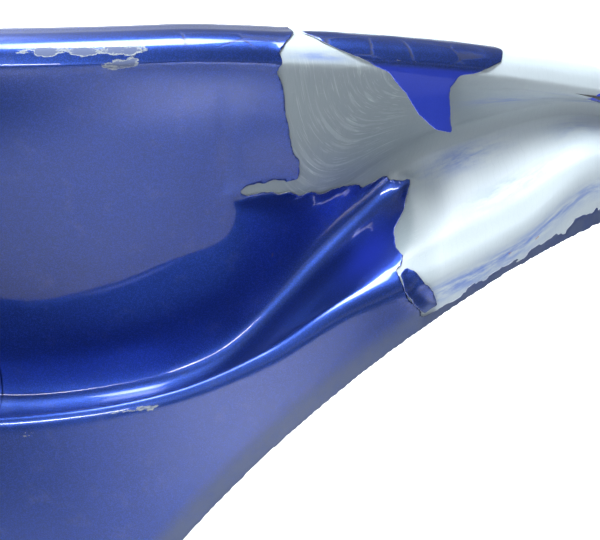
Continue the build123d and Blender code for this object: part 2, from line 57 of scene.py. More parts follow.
RECESS_DEPTH = ((0, 24), (430, 24), (520, 29), (600, 42), (700, 53), (980, 54), (1060, 44), (1120, 33),
                (1180, 20), (1240, 9), (1300, 8.5))
VALLEY_HEIGHT = ((0, 438), (500, 437), (620, 428), (820, 430), (900, 438), (960, 452), (1010, 500),
                 (1060, 558), (1110, 577), (1160, 586), (1210, 577), (1300, 548))
VALLEY_SHARE = ((0, 0), (930, 0), (1060, 1), (1300, 1))
CREST = ((TOP_FLANGE, 0), (26, 0), (18.5, 0.2), (13, 1.8), (9.4, 5.2), (7.6, 10), (7.2, 12.5))
BOWL_WALL = (0.0, 0.14, 0.3, 0.46, 0.62, 0.78, 0.91)
BOWL_FLOOR = ((1.0, 0.62), (0.97, 0.34), (0.86, 0.1), (0.66, 0.0), (0.46, 0.08), (0.3, 0.36), (0.19, 0.72))
GULLY_RAMP = ((1.0, 0.985), (0.985, 0.94), (0.92, 0.86), (0.76, 0.7), (0.56, 0.51), (0.36, 0.33),
              (0.18, 0.17))
FACE_STEPS = (0.0, 0.1, 0.22, 0.38, 0.55, 0.72, 0.88, 1.0)
BOTTOM_TURN = ((14.5, 18), (17.5, 8), (23, 2.2), (31, 0.25), (40, 0), (56, 0), (BOTTOM_FLANGE, 0))
STATIONS = (0, 150, 300, 430, 500, 560, 620, 690, 760, 820, 870, 915, 955, 990, 1025, 1060, 1095, 1130,
            1165, 1205)
FACE_ROW = 24.0  # section row where the outer face starts
SEAM_RUN = 818.0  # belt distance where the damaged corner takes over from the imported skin
BELT_STEP = 6.0  # the plan curve's direction is taken from points this far to each side
CREST_TOP = 645.12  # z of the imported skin's highest point in the frame of the curves


def eased(table, at):
    """Value of a station table at a distance, with a monotone smooth blend."""
    at = min(max(at, table[0][0]), table[-1][0])
    index = max(1, bisect_left([row[0] for row in table], at))
    (a, low), (b, high) = table[index - 1], table[index]

    def slope(left, middle, right):
        first = (middle[1] - left[1]) / (middle[0] - left[0])
        second = (right[1] - middle[1]) / (right[0] - middle[0])
        return 0.0 if first * second <= 0 else 2 * first * second / (first + second)

    start = slope(table[index - 2], table[index - 1], table[index]) if index > 1 else 0.0
    end = slope(table[index - 1], table[index], table[index + 1]) if index + 1 < len(table) else 0.0
    span = b - a
    t = (at - a) / span
    return ((2 * t**3 - 3 * t**2 + 1) * low + (t**3 - 2 * t**2 + t) * span * start
            + (3 * t**2 - 2 * t**3) * high + (t**3 - t**2) * span * end)


def plan_curve():
    """Plan curve as arrays of distance, x and y: a superellipse quadrant, then straight back."""
    turn = np.linspace(0, pi / 2, 1201)
    x = HALF_WIDTH * np.sin(turn) ** (2 / PLAN_POWER)
    y = PLAN_DEPTH * (1 - np.clip(np.cos(turn), 0, 1) ** (2 / PLAN_POWER))
    x, y = np.append(x, HALF_WIDTH), np.append(y, PLAN_DEPTH + 200)
    return np.append(0, np.cumsum(np.hypot(np.diff(x), np.diff(y)))), x, y


RUN, RUN_X, RUN_Y = plan_curve()


def belt(run):
    """Plan point and outward normal at belt distances (arrays)."""
    run = np.asarray(run, float)
    x, y = np.interp(run, RUN, RUN_X), np.interp(run, RUN, RUN_Y)
    dx = np.interp(run + BELT_STEP, RUN, RUN_X) - np.interp(run - BELT_STEP, RUN, RUN_X)
    dy = np.interp(run + BELT_STEP, RUN, RUN_Y) - np.interp(run - BELT_STEP, RUN, RUN_Y)
    size = np.hypot(dx, dy)
    return x, y, dy / size, -dx / size


ARM_RUN = float(np.interp(ARM_END, RUN_Y, RUN))


def section(run):
    """Section points (inward, z), from the top flange's inner end to the bottom flange's."""
    top, lip, deep, valley, share = (
        eased(t, run) for t in (TOP_HEIGHT, LIP_HEIGHT, RECESS_DEPTH, VALLEY_HEIGHT, VALLEY_SHARE))
    rise, fall = lip - valley, valley - lip
    foot = valley + 0.7 * rise
    face = [(13 * t**1.8 - 3 * sin(pi * t), lip - 12 - t * (lip - 46)) for t in FACE_STEPS]
    face += BOTTOM_TURN
    crest = [(u, top - drop) for u, drop in CREST]
    bowl = list(crest)
    bowl += [(9 + (deep - 9) * sin(t * pi / 2) ** 1.3, top - 16 - t * (top - 16 - foot)) for t in BOWL_WALL]
    bowl += [(u * deep, valley + z * rise) for u, z in BOWL_FLOOR]
    bowl += [(3.6, lip - 0.2), (1.3, lip - 1.4), (0.2, lip - 4.5)] + face
    gully = list(crest)
    gully += [(9 + (deep - 9) * t**0.9, top - 16 - t * (top - 21 - valley)) for t in BOWL_WALL]
    gully += [(u * deep, lip + z * fall) for u, z in GULLY_RAMP]
    gully += [(0.09 * deep, lip + 0.8), (0.035 * deep, lip - 3.0), (0.005 * deep, lip - 7.5)] + face
    return np.array(bowl) * (1 - share) + np.array(gully) * share


SECTIONS = np.array([section(run) for run in STATIONS + (ARM_RUN,)])
_weights = np.full(len(SECTIONS), 2.0)  # every section but the centre one is there twice
_weights[0] = 1
_steps = (np.hypot(*np.moveaxis(np.diff(SECTIONS, axis=1), 2, 0)) ** 0.8 * _weights[:, None]).sum(0)
SHARES = np.append(0, np.cumsum(_steps)) / _steps.sum()
ROWS = len(SHARES)
_corner = np.array([section(run) for run in (955, 990, 1025, 1060, 1095, 1130)])
ROW_MM = np.append(0, np.cumsum(np.hypot(*np.moveaxis(np.diff(_corner, axis=1), 2, 0)).mean(0)))


def spline_basis(at):
    """Weights of the section points for a natural cubic spline at given section rows."""
    n = ROWS
    h = np.diff(SHARES)
    system, right = np.eye(n), np.zeros((n, n))
    for i in range(1, n - 1):
        system[i, i - 1 : i + 2] = h[i - 1], 2 * (h[i - 1] + h[i]), h[i]
        right[i, i - 1 : i + 2] = 6 / h[i - 1], -6 / h[i - 1] - 6 / h[i], 6 / h[i]
    bend = np.linalg.solve(system, right)
    t = np.interp(at, np.arange(n), SHARES)
    k = np.clip(np.searchsorted(SHARES, t, side="right") - 1, 0, n - 2)
    a, b = (SHARES[k + 1] - t) / h[k], (t - SHARES[k]) / h[k]
    out = np.zeros((len(t), n))
    rows = np.arange(len(t))
    out[rows, k] += a
    out[rows, k + 1] += b
    lower, upper = (a**3 - a) * h[k] ** 2 / 6, (b**3 - b) * h[k] ** 2 / 6
    out += lower[:, None] * bend[k] + upper[:, None] * bend[k + 1]
    return out


def skin_points(runs, rows):
    """Undamaged outer surface; rows is one list for all columns, or a column of rows for each run."""
    runs = np.asarray(runs, float)
    x, y, nx, ny = belt(runs)
    sections = np.array([section(run) for run in runs])
    rows = np.asarray(rows, float)
    if rows.ndim == 1:
        uz = np.einsum("rk,ckd->rcd", spline_basis(rows), sections)
    else:
        uz = np.stack([spline_basis(rows[:, c]) @ sections[c] for c in range(len(runs))], 1)
    return np.stack([x - nx * uz[..., 0], y - ny * uz[..., 0], uz[..., 1]], -1)


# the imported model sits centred, so its own box says where the curves above go
_end = skin_points([ARM_RUN], np.linspace(0, 24, 200))
_low, _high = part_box("bumper_cover")
SHIFT = np.array([0.0, _high.y * 1000 - _end[..., 1].max(), _high.z * 1000 - CREST_TOP])


def metres(points):
    """Points of the curves above, in mm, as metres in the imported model's frame."""
    return (np.asarray(points) + SHIFT) / 1000


# ------------------------------------------------------------------ repeatable noise
def lattice(i, j, seed):
    """Fixed pseudo-random value in -1..1 for each whole-number place."""
    n = (i.astype(np.int64) * 374761393 + j.astype(np.int64) * 668265263 + seed * 974634777) & 0xFFFFFFFF
    n = ((n ^ (n >> 13)) * 1274126177) & 0xFFFFFFFF
    return ((n ^ (n >> 16)) & 0xFFFF) / 32767.5 - 1


def noise(x, y, seed=1):
    """Smooth value noise in -1..1."""
    x, y = np.asarray(x, float), np.asarray(y, float)
    i, j = np.floor(x), np.floor(y)
    fx, fy = x - i, y - j
    fx, fy = fx * fx * (3 - 2 * fx), fy * fy * (3 - 2 * fy)
    low = lattice(i, j, seed) * (1 - fx) + lattice(i + 1, j, seed) * fx
    high = lattice(i, j + 1, seed) * (1 - fx) + lattice(i + 1, j + 1, seed) * fx
    return low * (1 - fy) + high * fy


def rough(x, y, scale, seed=1, octaves=3):
    """Sum of noise octaves; scale is the size of the largest bumps in mm."""
    total, size = 0.0, 1.0
    for octave in range(octaves):
        total = total + noise(x / scale * 2**octave, y / scale * 2**octave, seed + octave) * size
        size *= 0.5
    return total / 1.75


def ramp(x, low, high):
    """Smooth step from 0 at low to 1 at high."""
    t = np.clip((x - low) / (high - low), 0, 1)
    return t * t * (3 - 2 * t)


# ------------------------------------------------------------------ outlines on the skin
def chart(outline):
    """Outline of (belt distance, section row) corners as millimetre coordinates on the skin."""
    outline = np.array(outline, float)
    return np.stack([outline[:, 0], np.interp(outline[:, 1], np.arange(ROWS), ROW_MM)], 1)


def signed(points, outline):
    """Distance inside (+) or outside (-) a closed outline."""
    px, py = points[..., 0], points[..., 1]
    best = np.full(px.shape, 1e9)
    inside = np.zeros(px.shape, bool)
    for (ax, ay), (bx, by) in zip(outline, np.roll(outline, -1, 0)):
        t = np.clip(((px - ax) * (bx - ax) + (py - ay) * (by - ay)) / ((bx - ax) ** 2 + (by - ay) ** 2), 0, 1)
        best = np.minimum(best, np.hypot(px - ax - t * (bx - ax), py - ay - t * (by - ay)))
        if ay != by:
            inside ^= ((ay > py) != (by > py)) & (px < (bx - ax) * (py - ay) / (by - ay) + ax)
    return np.where(inside, best, -best)


def along(points, line):
    """Distance to an open line and the share of the way along it."""
    px, py = points[..., 0], points[..., 1]
    lengths = np.hypot(*np.diff(line, axis=0).T)
    total, walked = lengths.sum(), 0.0
    best, where, side = np.full(px.shape, 1e9), np.zeros(px.shape), np.zeros(px.shape)
    for (ax, ay), (bx, by), length in zip(line, line[1:], lengths):
        t = np.clip(((px - ax) * (bx - ax) + (py - ay) * (by - ay)) / length**2, 0, 1)
        gap = np.hypot(px - ax - t * (bx - ax), py - ay - t * (by - ay))
        nearer = gap < best
        best = np.where(nearer, gap, best)
        where = np.where(nearer, (walked + t * length) / total, where)
        side = np.where(nearer, np.sign((bx - ax) * (py - ay) - (by - ay) * (px - ax)), side)
        walked += length
    return best, where, side


# BARE: plastic without paint; RIDGE and HOLLOW: the dent's sharp crease and its floor; RIPPLE: a small wave
# in the wall; FLAKE: loose paint on the crest; TAB and ISLAND: paint left on the plastic
BARE = chart([
    (1004, 0), (1003, 2.0), (999, 3.2), (992, 4.35), (994, 5.9), (992, 7.0), (995, 7.55), (997, 8.15),
    (999, 8.7), (1001, 9.15), (1006, 9.65), (1005, 10.05), (992, 9.85), (978, 9.75), (966, 9.85),
    (978, 9.93), (992, 10.12), (1006, 10.55), (1020, 11.15), (1034, 11.9),
    (1050, 13.3), (1064, 15.2), (1072, 16.3), (1069, 17.1), (1065, 17.5), (1057, 18.0), (1054, 19.15),
    (1056, 19.9), (1055, 20.4), (1051, 20.7), (1052, 21.45), (1053, 22.9), (1055, 24.0), (1063, 24.42),
    (1080, 24.36), (1108, 24.28), (1131, 24.33), (1170, 24.42), (1210, 24.5), (1260, 24.55), (1260, 0)])
RIDGE = chart([(966, 10.0), (985, 10.15), (1008, 10.65), (1034, 11.7), (1052, 13.4), (1072, 16.3)])
HOLLOW = chart([(968, 10.05), (985, 10.2), (1008, 10.7), (1034, 11.75), (1052, 13.45), (1071, 16.2),
                (1066, 18.0), (1058, 19.4), (1040, 19.6), (1020, 18.6), (1006, 15.2), (994, 12.6),
                (980, 10.9)])
RIPPLE = chart([(961, 7.4), (966, 8.3), (968, 8.8), (966, 9.6), (966, 10.0)])
FLAKE = chart([(1006, 1.2), (1008, 2.05), (1015, 3.35), (1024, 4.2), (1033, 4.7), (1040, 5.7), (1047, 6.5),
               (1055, 7.6), (1061, 8.7), (1069, 9.5), (1077, 9.8), (1078, 8.6), (1079, 7.3), (1084, 6.3),
               (1097, 5.3), (1109, 4.0), (1115, 2.15), (1115, 1.2)])
CREASE_ROW = 4.75  # where the flake folds off the crest
TAB = chart([(1052, 21.3), (1053, 22.9), (1057, 24.15), (1064, 24.35), (1071, 24.32), (1067, 24.0),
             (1060, 21.7), (1056, 20.9)])
ISLAND = chart([(1164, 7.4), (1172, 6.3), (1184, 6.6), (1192, 9.0), (1186, 12.0), (1172, 9.5)])


# ------------------------------------------------------------------ the damaged corner
FOOT_DEPTH, CREASE_DEPTH, CREASE_REACH = 4.6, 5.0, 26  # mm: two depths of the blow and a fading length
SMOOTHING_PASSES, SMOOTHING_SHARE = 260, 0.8
FADE_START, FADE_END = 20, 90  # mm past the seam, where the damage fades in


def corner_runs():
    """Belt distances of the corner's columns, closest where it is damaged."""
    fine = np.arange(944, 1186, 1.5)
    return np.concatenate([np.arange(SEAM_RUN - 2, 943, 2.5), fine, np.arange(1188, ARM_RUN, 2.5), [ARM_RUN]])


def corner_rows():
    """Rows above the outer face, then shares 0..1 of the way down it."""
    parts = [np.linspace(0, 1, 4)[:-1]]
    parts += [np.linspace(row, row + 1, 5)[:-1] for row in range(1, 7)]
    parts += [np.linspace(7, 13, 97)[:-1], np.linspace(13, 20, 50)[:-1], np.linspace(20, FACE_ROW, 17)]
    return np.concatenate(parts)


def face_end(run):
    """Section row where the wheel arch cuts a column, or the flange's end."""
    rows = np.linspace(FACE_ROW, ROWS - 1, 900)
    points = skin_points([run], rows)[:, 0]
    inside = np.hypot(points[:, 1] - ARCH_Y, points[:, 2] - ARCH_Z) < ARCH_RADIUS
    return rows[np.argmax(inside)] if inside.any() else ROWS - 1.0


def grid_normals(points):
    """Outward normals of a grid of rows and columns."""
    across, down = np.gradient(points, axis=1), np.gradient(points, axis=0)
    normals = np.cross(across, -down)
    return normals / np.linalg.norm(normals, axis=-1, keepdims=True)


RUNS = corner_runs()
TOP_ROWS = corner_rows()
ENDS = np.array([face_end(run) for run in RUNS])
FALL = np.linspace(0, 1, 72)[1:] ** 1.25
FLANGE_DEPTHS = (5.0, 9.0, 14.0, ARCH_FLANGE)
FLANGE_STEPS = (1.0, 2.0, 3.0, 4.0) + tuple(depth + 1 for depth in FLANGE_DEPTHS)  # mm past the face
_row_grid = np.concatenate([
    np.repeat(TOP_ROWS[:, None], len(RUNS), 1), FACE_ROW + FALL[:, None] * (ENDS - FACE_ROW)[None, :]])
SKIN = skin_points(RUNS, _row_grid)
NORMAL = grid_normals(SKIN)
CHART = np.stack([np.repeat(RUNS[None, :], len(_row_grid), 0),
                  np.interp(_row_grid, np.arange(ROWS), ROW_MM)], -1)


def damage(points):
    """How far the impact pushed the skin in, in mm, by chart place."""
    run, down = points[..., 0], points[..., 1]
    wobble = rough(run, down, 16, 5) * 2.0
    inside = signed(points, HOLLOW) + wobble * 0.4
    gap, share, side = along(points, RIDGE)
    below = ramp(inside, 0, 12)
    sharp = ramp(inside, -0.3, 3.2) * np.exp(-gap / CREASE_REACH)
    depth = FOOT_DEPTH * below + CREASE_DEPTH * sharp * np.sin(np.clip(share, 0.02, 1) * pi * 0.62) ** 1.2
    proud = np.exp(-(gap / 3.0) ** 2) * (side < 0) * np.sin(np.clip(share, 0, 1) * pi * 0.7) * 1.3
    crease, where, _ = along(points, RIPPLE)
    ripple = np.exp(-(crease / 3.5) ** 2) * 0.9 * np.sin(pi * np.clip(where, 0.03, 0.97))
    soft = ramp(-inside, 26, 0) * 1.4 * (run > 940)
    waves = rough(run, down, 38, 11, 2) * 0.45 * ramp(run, 950, 1010)
    return depth - proud + ripple + soft + waves


def push(points):
    """The damage, faded out towards the seam."""
    return damage(points) * ramp(points[..., 0], SEAM_RUN + FADE_START, SEAM_RUN + FADE_END)


def eased_valley(points):
    """Rounds off the hard meeting of bowl floor and ramp where the blow softened it."""
    run, down = CHART[..., 0], CHART[..., 1]
    share = (ramp(run, 915, 1000) * ramp(-run, -1072, -1035)
             * ramp(down, ROW_MM[10], ROW_MM[13]) * ramp(-down, -ROW_MM[21], -ROW_MM[17]))[..., None]
    points = points.copy()
    for _ in range(SMOOTHING_PASSES):
        mean = (points[:-2, 1:-1] + points[2:, 1:-1] + points[1:-1, :-2] + points[1:-1, 2:]) / 4
        points[1:-1, 1:-1] += SMOOTHING_SHARE * share[1:-1, 1:-1] * (mean - points[1:-1, 1:-1])
    return points


DENT = push(CHART)
PLASTIC = eased_valley(SKIN - NORMAL * DENT[..., None])


EDGE_TURNS = (0.35, 0.8, 1.2, pi / 2)  # angles of the rounded wheel-arch edge
EDGE_INWARD, EDGE_DROP, DROP_SHARE = 2.2, 1.6, 0.6  # its size in mm inwards and towards the wheel


def edge_flange(points):
    """Rows that turn the skin inwards at the wheel-arch edge."""
    _, _, nx, ny = belt(RUNS)
    inward = np.stack([-nx, -ny, np.zeros_like(nx)], -1)
    edge = points[-1]
    centre = np.array([0.0, ARCH_Y, ARCH_Z])
    radial = edge - centre
    radial[:, 0] = 0
    radial /= np.linalg.norm(radial, axis=1, keepdims=True)
    room = ramp(edge[:, 2], 2, 30) * (ENDS < ROWS - 1)
    rows = []
    for turn in EDGE_TURNS:
        drop = radial * (EDGE_DROP * (1 - cos(turn))) * DROP_SHARE
        rows.append(edge + inward * (EDGE_INWARD * sin(turn)) - drop)
    for depth in FLANGE_DEPTHS:
        rows.append(rows[3] + inward * ((depth - EDGE_INWARD) * room)[:, None])
    return np.array(rows)


def mesh_from(name, points, faces, tags, chart_points):
    """Smooth mesh piece with wear masks, masks of painted light and shade, and chart places at its points."""
    mesh = bpy.data.meshes.new(name)
    mesh.from_pydata(metres(points).tolist(), [], faces)
    mesh.validate()
    mesh.polygons.foreach_set("use_smooth", [True] * len(mesh.polygons))
    for key, values in tags.items():
        layer = mesh.attributes.new(key, "FLOAT", "POINT")
        layer.data.foreach_set("value", np.asarray(values, np.float32))
    layer = mesh.attributes.new("belt", "FLOAT_VECTOR", "POINT")
    flat = np.concatenate([chart_points, np.zeros((len(chart_points), 1))], 1) / 1000
    layer.data.foreach_set("vector", flat.astype(np.float32).ravel())
    piece = bpy.data.objects.new(name, mesh)
    bpy.context.scene.collection.objects.link(piece)
    return piece


def grid_faces(rows, columns, start=0, flip=False):
    """Quads of a grid whose points are numbered row by row from start."""
    index = start + np.arange(rows * columns).reshape(rows, columns)
    a, b, c, d = index[:-1, :-1], index[1:, :-1], index[1:, 1:], index[:-1, 1:]
    order = (a, d, c, b) if flip else (a, b, c, d)
    return np.stack(order, -1).reshape(-1, 4).tolist()


INNER_STEP = 4  # the inner side keeps every fourth row and column


def bare_shell():
    """The plastic corner: dense outer side, plain inner side 3 mm behind, and the rims between."""
    turned = edge_flange(PLASTIC)
    outer = np.concatenate([PLASTIC, turned])
    outward = grid_normals(outer)
    rows, columns = outer.shape[:2]
    points = [outer.reshape(-1, 3)]
    faces = grid_faces(rows, columns)
    step_rows = sorted({*range(0, rows, INNER_STEP), rows - 1})
    step_columns = sorted({*range(0, columns, INNER_STEP), columns - 1})
    inner_all = outer - outward * WALL
    inner = inner_all[np.ix_(step_rows, step_columns)]
    faces += grid_faces(len(step_rows), len(step_columns), rows * columns, flip=True)
    points.append(inner.reshape(-1, 3))
    start = rows * columns + inner.shape[0] * inner.shape[1]
    for front, back in ((outer[0], inner_all[0]), (outer[-1][::-1], inner_all[-1][::-1]),
                        (outer[:, -1], inner_all[:, -1])):
        count = len(front)
        points += [front, back]
        faces += grid_faces(2, count, start, flip=True)
        start += 2 * count
    return np.concatenate(points), faces, outer, outward


def cut_sheet(values, points):
    """Marching-squares cut of the grid where values fall below zero. Returns points, faces and sources."""
    rows, columns = values.shape
    keep = values >= 0
    index = {}
    out, sources = [], []

    def corner(i, j):
        key = (i, j)
        if key not in index:
            index[key] = len(out)
            out.append(points[i, j])
            sources.append((i, j, i, j, 0.0))
        return index[key]

    def crossing(i, j, k, m):
        key = (min((i, j), (k, m)), max((i, j), (k, m)))
        if key not in index:
            a, b = values[i, j], values[k, m]
            t = min(max(a / (a - b), 0.03), 0.97)
            index[key] = len(out)
            out.append(points[i, j] * (1 - t) + points[k, m] * t)
            sources.append((i, j, k, m, t))
        return index[key]

    faces = []
    cells = keep[:-1, :-1] | keep[1:, :-1] | keep[1:, 1:] | keep[:-1, 1:]
    for i, j in zip(*np.nonzero(cells)):
        ring = ((i, j), (i + 1, j), (i + 1, j + 1), (i, j + 1))
        face = []
        for here, after in zip(ring, ring[1:] + ring[:1]):
            if keep[here]:
                face.append(corner(*here))
            if keep[here] != keep[after]:
                face.append(crossing(*here, *after) if keep[here] else crossing(*after, *here))
        if len(face) > 2:
            faces.append(face)
    return np.array(out), faces, sources


def carried(field, sources):
    """Grid values at the cut sheet's points."""
    s = np.array([row[:4] for row in sources], int)
    t = np.array([row[4] for row in sources])
    shape = (-1,) + (1,) * (field.ndim - 2)
    return field[s[:, 0], s[:, 1]] * (1 - t).reshape(shape) + field[s[:, 2], s[:, 3]] * t.reshape(shape)


# ------------------------------------------------------------------ node materials
def material(name):
    """New material with its node tree and its shader node."""
    made = bpy.data.materials.new(name)
    made.use_nodes = True
    tree = made.node_tree
    return made, tree, tree.nodes["Principled BSDF"]


def node(tree, kind, inputs=None, **settings):
    """New node; inputs are plain values or the sockets to link from."""
    made = tree.nodes.new(kind)
    for key, value in settings.items():
        setattr(made, key, value)
    for key, value in (inputs or {}).items():
        if isinstance(value, bpy.types.NodeSocket):
            tree.links.new(value, made.inputs[key])
        else:
            made.inputs[key].default_value = value
    return made


def belt_coordinates(tree, scale=(1, 1, 1), turn=0.0):
    """Place along the belt and down the section, in metres, as stored on the mesh."""
    place = node(tree, "ShaderNodeAttribute", attribute_name="belt")
    return node(tree, "ShaderNodeMapping", {
        "Vector": place.outputs["Vector"], "Scale": scale, "Rotation": (0, 0, turn)}).outputs["Vector"]


def object_coordinates(tree):
    return node(tree, "ShaderNodeTexCoord").outputs["Object"]


def cloud(tree, vector, scale, detail=4.0, rough_share=0.55, distortion=0.0):
    """Noise value at a place."""
    return node(tree, "ShaderNodeTexNoise", {
        "Vector": vector, "Scale": scale, "Detail": detail, "Roughness": rough_share,
        "Distortion": distortion}).outputs["Fac"]


def band(tree, value, low, high, to_low=0.0, to_high=1.0):
    """Value moved from low..high to to_low..to_high, and held there outside."""
    return node(tree, "ShaderNodeMapRange", {
        "Value": value, "From Min": low, "From Max": high, "To Min": to_low, "To Max": to_high},
        clamp=True).outputs["Result"]


def sums(tree, operation, a, b):
    """Result of one arithmetic step on two values."""
    return node(tree, "ShaderNodeMath", {0: a, 1: b}, operation=operation).outputs[0]


def scaled(tree, value, share):
    return sums(tree, "MULTIPLY", value, share)


def blend_colour(tree, share, a, b):
    """Colour a turning into colour b as share goes from 0 to 1."""
    made = node(tree, "ShaderNodeMix", data_type="RGBA")
    for socket, value in ((made.inputs[0], share), (made.inputs[6], a), (made.inputs[7], b)):
        if isinstance(value, bpy.types.NodeSocket):
            tree.links.new(value, socket)
        else:
            socket.default_value = value
    return made.outputs[2]


def bump(tree, height, strength, distance):
    return node(tree, "ShaderNodeBump", {
        "Height": height, "Strength": strength, "Distance": distance}).outputs["Normal"]


def tagged(tree, name):
    """Mask stored on the mesh under this name: wear marks and painted light and shade alike."""
    return node(tree, "ShaderNodeAttribute", attribute_name=name).outputs["Fac"]


PAINT_METALLIC = 0.9


def paint_material(name, worn):
    """Metallic blue under clear coat; the worn kind adds scuffs where the mesh says so, a painted reflection
    of brighter blue and a painted shade band along the wheel-arch edge.
    """
    made, tree, shader = material(name)
    place = object_coordinates(tree)
    flakes = node(tree, "ShaderNodeTexVoronoi", {"Vector": place, "Scale": 2600.0})
    tone = cloud(tree, place, 6.0, 2.0)
    blue = blend_colour(tree, band(tree, tone, 0.3, 0.7), (0.014, 0.040, 0.19, 1), (0.019, 0.050, 0.23, 1))
    sparkle = band(tree, node(tree, "ShaderNodeSeparateColor", {
        "Color": flakes.outputs["Color"]}).outputs["Red"], 0.5, 1.0, 0.0, 0.5)
    blue = blend_colour(tree, sparkle, blue, (0.035, 0.09, 0.60, 1))
    dust = band(tree, cloud(tree, place, 70.0, 6.0, 0.7), 0.56, 0.85, 0.0, 0.14)
    colour = blend_colour(tree, dust, blue, (0.20, 0.23, 0.30, 1))
    gloss = band(tree, cloud(tree, place, 12.0, 4.0), 0.3, 0.75, 0.36, 0.44)
    height = cloud(tree, place, 420.0, 1.0)
    if worn:
        # painted reflection: the pocket's right side and the hanging flake turn a brighter, more saturated
        # blue that stands for the bright sky they reflect
        colour = blend_colour(tree, tagged(tree, "painted_reflection"), colour, (0.05, 0.095, 0.85, 1))
        strokes = cloud(tree, belt_coordinates(tree, (1, 3.2, 1), 0.2), 300.0, 6.0, 0.65, 0.4)
        patches = cloud(tree, belt_coordinates(tree), 110.0, 6.0, 0.65)
        mixed = sums(tree, "ADD", scaled(tree, strokes, 0.45), scaled(tree, patches, 0.55))
        worn_by = sums(tree, "ADD", tagged(tree, "scuff"), mixed)
        mark = band(tree, worn_by, 1.0, 1.03)
        rim = sums(tree, "SUBTRACT", band(tree, worn_by, 0.97, 1.0), band(tree, worn_by, 1.03, 1.07))
        colour = blend_colour(tree, mark, colour, (0.085, 0.11, 0.21, 1))
        colour = blend_colour(tree, sums(tree, "MAXIMUM", rim, 0.0), colour, (0.27, 0.30, 0.32, 1))
        # painted shade: a darker, duller band along the wheel-arch edge stands for the dark ground seen in
        # the turned edge
        edge = sums(tree, "MULTIPLY", tagged(tree, "edge"), band(tree, patches, 0.2, 0.55, 0.55, 0.9))
        colour = blend_colour(tree, edge, colour, (0.070, 0.092, 0.16, 1))
        cells = node(tree, "ShaderNodeTexVoronoi", {
            "Vector": belt_coordinates(tree, (0.55, 1, 1), 0.35), "Scale": 75.0, "Randomness": 1.0},
            feature="DISTANCE_TO_EDGE").outputs["Distance"]
        fine = sums(tree, "ADD", cells, sums(tree, "MULTIPLY", sums(tree, "SUBTRACT", strokes, 0.5), 0.10))
        crack = sums(tree, "MULTIPLY", band(tree, fine, 0.012, 0.045, 1.0, 0.0), tagged(tree, "cracked"))
        colour = blend_colour(tree, crack, colour, (0.012, 0.013, 0.02, 1))
        chalk = sums(tree, "ADD", tagged(tree, "crease"), scaled(tree, strokes, 0.8))
        chalk = band(tree, chalk, 1.0, 1.1)
        colour = blend_colour(tree, chalk, colour, (0.48, 0.50, 0.52, 1))
        dirt = band(tree, sums(tree, "ADD", tagged(tree, "dirt"), patches), 1.05, 1.2)
        colour = blend_colour(tree, dirt, colour, (0.10, 0.075, 0.045, 1))
        # the paint dulls at scuffs, dirt and cracks, and along the painted shade band at the arch edge
        wear_dirt_and_painted_shade = sums(tree, "MAXIMUM", sums(tree, "MAXIMUM", mark, dirt), sums(tree, "MAXIMUM", crack, edge))
        gloss = sums(tree, "ADD", gloss, scaled(tree, wear_dirt_and_painted_shade, 0.3))
        metallic = sums(tree, "SUBTRACT", PAINT_METALLIC, scaled(tree, wear_dirt_and_painted_shade, 0.75))
        tree.links.new(metallic, shader.inputs["Metallic"])
        tree.links.new(sums(tree, "SUBTRACT", 1.0, scaled(tree, wear_dirt_and_painted_shade, 0.8)), shader.inputs["Coat Weight"])
        height = sums(tree, "SUBTRACT", scaled(tree, height, 0.12), scaled(tree, wear_dirt_and_painted_shade, 0.8))
        tree.links.new(bump(tree, height, 0.5, 0.0003), shader.inputs["Normal"])
    else:
        shader.inputs["Metallic"].default_value = PAINT_METALLIC
        shader.inputs["Coat Weight"].default_value = 1.0
        tree.links.new(bump(tree, height, 0.06, 0.0003), shader.inputs["Normal"])
    shader.inputs["Coat Roughness"].default_value = 0.035
    shader.inputs["Coat IOR"].default_value = 1.5
    tree.links.new(colour, shader.inputs["Base Color"])
    tree.links.new(gloss, shader.inputs["Roughness"])
    return made


FAN_CENTRE = (1.078, float(ROW_MM[3]) / 1000, 0.0)  # middle of the curved drag scratches, chart metres


